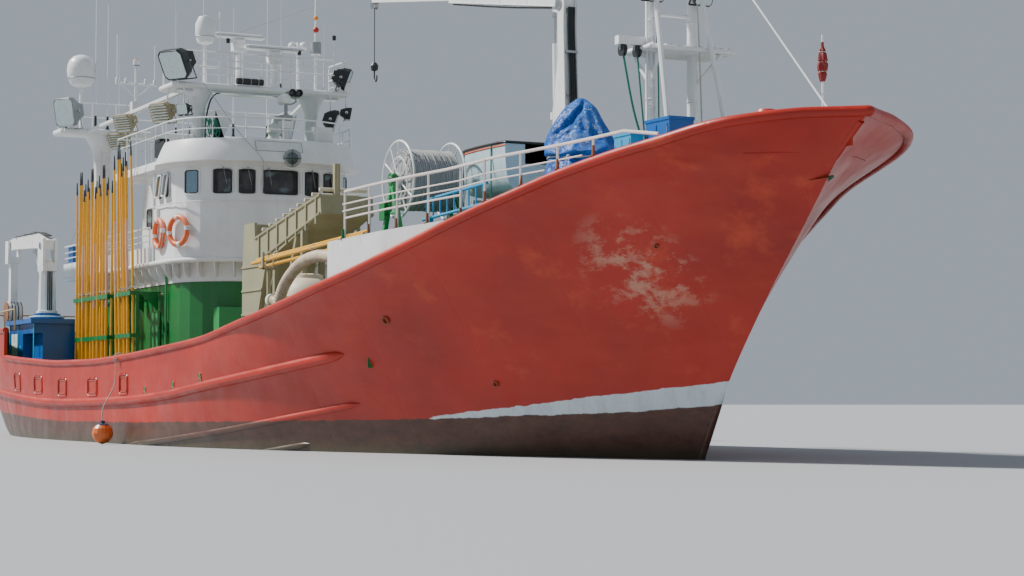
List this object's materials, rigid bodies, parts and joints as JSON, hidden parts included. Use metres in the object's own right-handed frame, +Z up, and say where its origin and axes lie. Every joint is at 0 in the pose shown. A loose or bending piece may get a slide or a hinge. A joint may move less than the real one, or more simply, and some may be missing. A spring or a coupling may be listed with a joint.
{
  "type": "purse seine and bait fishing boat",
  "caption": "Steel fishing boat with forward crane, rope reel, pole racks, raised bow, two gantries and an after crane, afloat.",
  "frame": {"origin": "amidships on the centreline at the waterline", "axes": "+X towards the bow, +Y to port, +Z up"},
  "size_m": [34.1254, 8.9524, 14.83],
  "materials": {
    "hull_paint": "satin marine paint, orange-red",
    "white_paint": "gloss white enamel",
    "green_paint": "gloss green enamel",
    "blue_paint": "satin blue enamel",
    "pale_paint": "weathered pale blue paint",
    "olive_paint": "weathered olive paint",
    "tank_grey": "moulded tank",
    "hose_rubber": "ribbed tan hose",
    "pole_yellow": "glass fibre fishing poles",
    "tarp_blue": "woven plastic tarpaulin",
    "rope": "laid rope",
    "buoy_orange": "moulded plastic",
    "window_glass": "tinted flat glass",
    "bronze": "cast bronze",
    "steel": "bright steel",
    "dark_steel": "dark painted steel"
  },
  "bodies": {
    "root": {"hull": "hull_paint", "bulwark_starboard": "hull_paint", "bulwark_port": "hull_paint", "bulwark_bow": "hull_paint", "bulwark_stern": "hull_paint", "forecastle_house": "white_paint", "deckhouse": "green_paint", "boat_deck": "white_paint", "boat_deck_bulwark": "white_paint", "wheelhouse_walls": "white_paint", "wheelhouse_glass": "window_glass", "aft_cabin": "white_paint", "flybridge_deck": "white_paint", "flybridge_parapet": "white_paint", "fore_gantry": "white_paint", "aft_gantry": "white_paint", "fishing_poles_aft": "pole_yellow", "fishing_poles_fore": "pole_yellow", "foremast": "white_paint", "forestay": "steel", "fore_crane_base": "white_paint", "aft_crane_housing": "blue_paint", "rope_reel_stand": "green_paint", "skiff": "pale_paint", "tarp_cover": "tarp_blue", "tall_cabinet": "blue_paint", "low_cabinet": "pale_paint", "fore_rail_starboard": "white_paint", "fore_rail_port": "white_paint", "sorting_chute": "olive_paint", "pump_tank": "tank_grey", "suction_hose": "hose_rubber", "deck_poles": "pole_yellow", "lifebuoy_aft": "buoy_orange", "lifebuoy_fore": "buoy_orange", "fender_ball": "buoy_orange", "fender_rope": "rope", "jackstaff": "dark_steel"},
    "propeller": {"propeller": "bronze"},
    "rudder": {"rudder": "hull_paint"},
    "deckhouse_door": {"deckhouse_door": "green_paint"},
    "wheelhouse_door_starboard": {"wheelhouse_door_starboard": "white_paint"},
    "wheelhouse_door_port": {"wheelhouse_door_port": "white_paint"},
    "radar_bar_starboard": {"radar_bar_starboard": "white_paint"},
    "radar_bar_port": {"radar_bar_port": "white_paint"},
    "fore_crane_column": {"fore_crane_column": "white_paint"},
    "fore_crane_boom": {"fore_crane_boom": "white_paint"},
    "fore_crane_jib": {"fore_crane_jib": "white_paint", "fore_crane_hook": "dark_steel"},
    "fore_crane_barrel": {"fore_crane_barrel": "white_paint"},
    "fore_crane_rod": {"fore_crane_rod": "steel"},
    "aft_crane_column": {"aft_crane_column": "white_paint"},
    "aft_crane_boom": {"aft_crane_boom": "white_paint"},
    "aft_crane_jib": {"aft_crane_jib": "white_paint"},
    "aft_crane_barrel": {"aft_crane_barrel": "steel"},
    "aft_crane_rod": {"aft_crane_rod": "steel"},
    "rope_reel_drum": {"rope_reel_drum": "rope"},
    "hatch_lid_fore": {"hatch_lid_fore": "green_paint"},
    "hatch_lid_aft": {"hatch_lid_aft": "green_paint"}
  },
  "joints": [
    {"name": "propeller_spin", "type": "hinge", "parent": "root", "child": "propeller", "pos_m": [-13.62, 0, -2.13], "axis": [1, 0, 0], "continuous": true},
    {"name": "rudder_steer", "type": "hinge", "parent": "root", "child": "rudder", "pos_m": [-14.65, 0, -2], "axis": [0, 0, 1], "range_deg": [-35, 35]},
    {"name": "deckhouse_door_swing", "type": "hinge", "parent": "root", "child": "deckhouse_door", "pos_m": [-12.394, -1.244, 2.1], "axis": [0, 0, 1], "range_deg": [0, 100]},
    {"name": "wheelhouse_door_starboard_swing", "type": "hinge", "parent": "root", "child": "wheelhouse_door_starboard", "pos_m": [-7.294, -1.944, 5], "axis": [0, 0, 1], "range_deg": [0, 90]},
    {"name": "wheelhouse_door_port_swing", "type": "hinge", "parent": "root", "child": "wheelhouse_door_port", "pos_m": [-7.294, 1.944, 5], "axis": [0, 0, -1], "range_deg": [0, 90]},
    {"name": "radar_bar_starboard_spin", "type": "hinge", "parent": "root", "child": "radar_bar_starboard", "pos_m": [-6.6, -0.27, 9.12], "axis": [0, 0, 1], "continuous": true},
    {"name": "radar_bar_port_spin", "type": "hinge", "parent": "root", "child": "radar_bar_port", "pos_m": [-6.05, 0.37, 8.8], "axis": [0, 0, 1], "continuous": true},
    {"name": "fore_crane_slew", "type": "hinge", "parent": "root", "child": "fore_crane_column", "pos_m": [8.6, 0, 4.4], "axis": [0, 0, 1], "range_deg": [-110, 110]},
    {"name": "fore_crane_luff", "type": "hinge", "parent": "fore_crane_column", "child": "fore_crane_boom", "pos_m": [8.6, 0, 4.75], "axis": [0, 1, 0], "range_deg": [-20, 5]},
    {"name": "fore_crane_knuckle", "type": "hinge", "parent": "fore_crane_boom", "child": "fore_crane_jib", "pos_m": [8.6, 0, 7.42], "axis": [0, 1, 0], "range_deg": [-15, 30]},
    {"name": "fore_crane_barrel_tilt", "type": "hinge", "parent": "fore_crane_boom", "child": "fore_crane_barrel", "pos_m": [8.285, 0, 5.6], "axis": [0, 1, 0], "range_deg": [-3, 3]},
    {"name": "fore_crane_rod_slide", "type": "slide", "parent": "fore_crane_barrel", "child": "fore_crane_rod", "axis": [-0.0237, 0, 0.9997], "range_m": [-0.1, 0.22]},
    {"name": "aft_crane_slew", "type": "hinge", "parent": "root", "child": "aft_crane_column", "pos_m": [-13.3, -2.85, 3.5], "axis": [0, 0, 1], "range_deg": [-20, 110]},
    {"name": "aft_crane_luff", "type": "hinge", "parent": "aft_crane_column", "child": "aft_crane_boom", "pos_m": [-13.3, -2.85, 4.7], "axis": [0, 1, 0], "range_deg": [0, 50]},
    {"name": "aft_crane_jib_fold", "type": "hinge", "parent": "aft_crane_boom", "child": "aft_crane_jib", "pos_m": [-16.7, -2.85, 4.92], "axis": [0, 1, 0], "range_deg": [-40, 50]},
    {"name": "aft_crane_barrel_tilt", "type": "hinge", "parent": "aft_crane_column", "child": "aft_crane_barrel", "pos_m": [-13.68, -2.85, 3.64], "axis": [0, 1, 0], "range_deg": [0, 30]},
    {"name": "aft_crane_rod_slide", "type": "slide", "parent": "aft_crane_barrel", "child": "aft_crane_rod", "axis": [-0.636, 0, 0.7717], "range_m": [0, 0.7]},
    {"name": "rope_reel_spin", "type": "hinge", "parent": "root", "child": "rope_reel_drum", "pos_m": [8.45, -2.5, 4.39], "axis": [0, 1, 0], "continuous": true},
    {"name": "hatch_lid_fore_open", "type": "hinge", "parent": "root", "child": "hatch_lid_fore", "pos_m": [1.15, 0.74, 1.52924], "axis": [-1, 0, 0], "range_deg": [0, 95]},
    {"name": "hatch_lid_aft_open", "type": "hinge", "parent": "root", "child": "hatch_lid_aft", "pos_m": [-1.35, 0.74, 1.386], "axis": [-1, 0, 0], "range_deg": [0, 95]}
  ],
  "couplings": [
    {"joint": "fore_crane_barrel_tilt", "follows": "fore_crane_knuckle", "ratio": -0.035},
    {"joint": "fore_crane_rod_slide", "follows": "fore_crane_knuckle", "m_per_rad": 0.36},
    {"joint": "aft_crane_barrel_tilt", "follows": "aft_crane_luff", "ratio": 0.55},
    {"joint": "aft_crane_rod_slide", "follows": "aft_crane_luff", "m_per_rad": 0.775}
  ]
}
